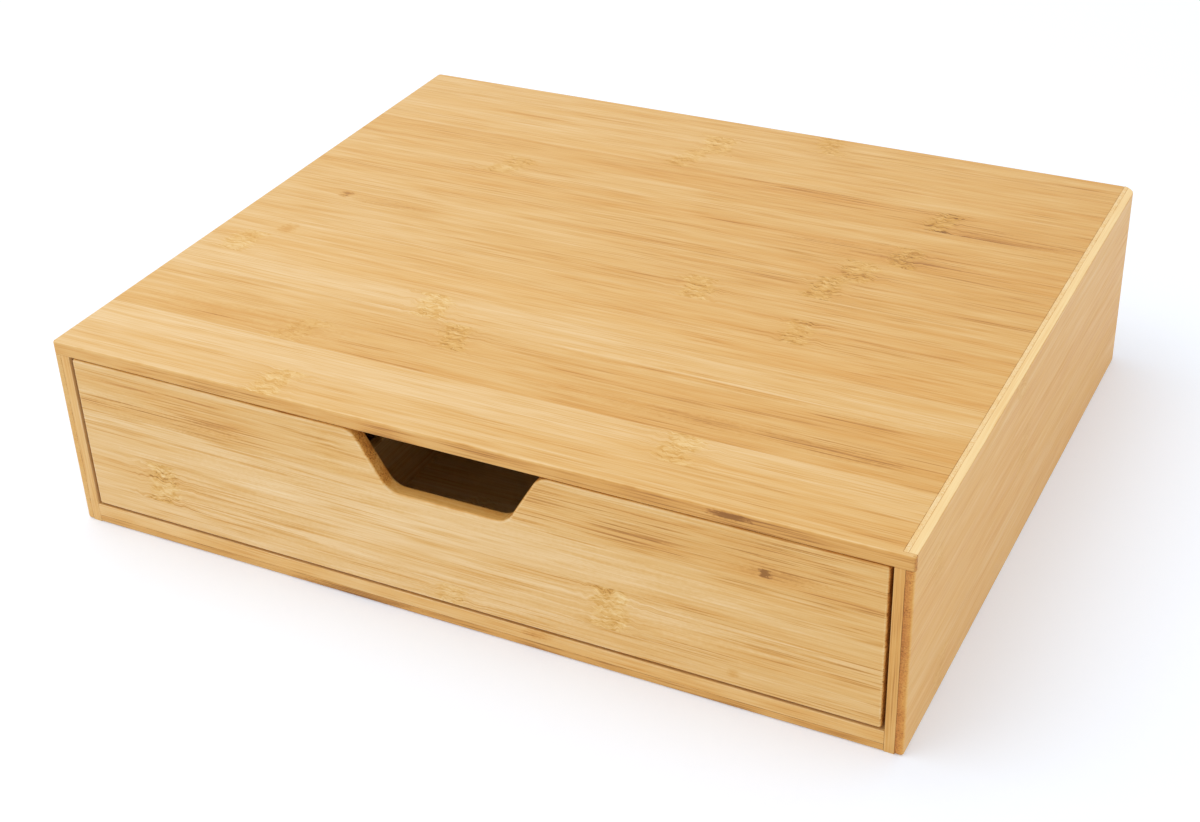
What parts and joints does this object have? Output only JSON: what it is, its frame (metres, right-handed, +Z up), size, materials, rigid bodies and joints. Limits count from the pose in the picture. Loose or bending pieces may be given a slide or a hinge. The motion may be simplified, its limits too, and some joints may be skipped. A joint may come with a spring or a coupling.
{
  "type": "under desk drawer",
  "caption": "Low rectangular bamboo case with a sliding drawer; the inset drawer front has a finger notch in its top edge.",
  "frame": {"origin": "centre of the underside of the case", "axes": "front of the case faces -Y, right side is +X, +Z up"},
  "size_m": [0.4, 0.338, 0.0955],
  "materials": {
    "top_bamboo": "satin clear lacquer",
    "outer_ply_bamboo": "satin clear lacquer",
    "inner_ply_bamboo": "satin clear lacquer",
    "bottom_bamboo": "satin clear lacquer",
    "front_bamboo": "satin clear lacquer",
    "drawer_bamboo": "satin clear lacquer",
    "dowel_wood": "raw"
  },
  "bodies": {
    "case": {"top_board": "top_bamboo", "left_outer_ply": "outer_ply_bamboo", "left_inner_ply": "inner_ply_bamboo", "right_outer_ply": "outer_ply_bamboo", "right_inner_ply": "inner_ply_bamboo", "bottom_upper_ply": "bottom_bamboo", "bottom_lower_ply": "bottom_bamboo", "back_panel": "inner_ply_bamboo", "top_dowels": "dowel_wood", "bottom_dowels": "dowel_wood", "back_dowels": "dowel_wood"},
    "drawer": {"drawer_front": "front_bamboo", "drawer_left_side": "drawer_bamboo", "drawer_right_side": "drawer_bamboo", "drawer_back": "drawer_bamboo", "drawer_bottom": "drawer_bamboo", "drawer_left_divider": "drawer_bamboo", "drawer_right_divider": "drawer_bamboo", "drawer_front_dowels": "dowel_wood", "drawer_back_dowels": "dowel_wood"}
  },
  "joints": [
    {"name": "drawer_slide", "type": "slide", "parent": "case", "child": "drawer", "axis": [0, -1, 0], "range_m": [0, 0.25]}
  ]
}
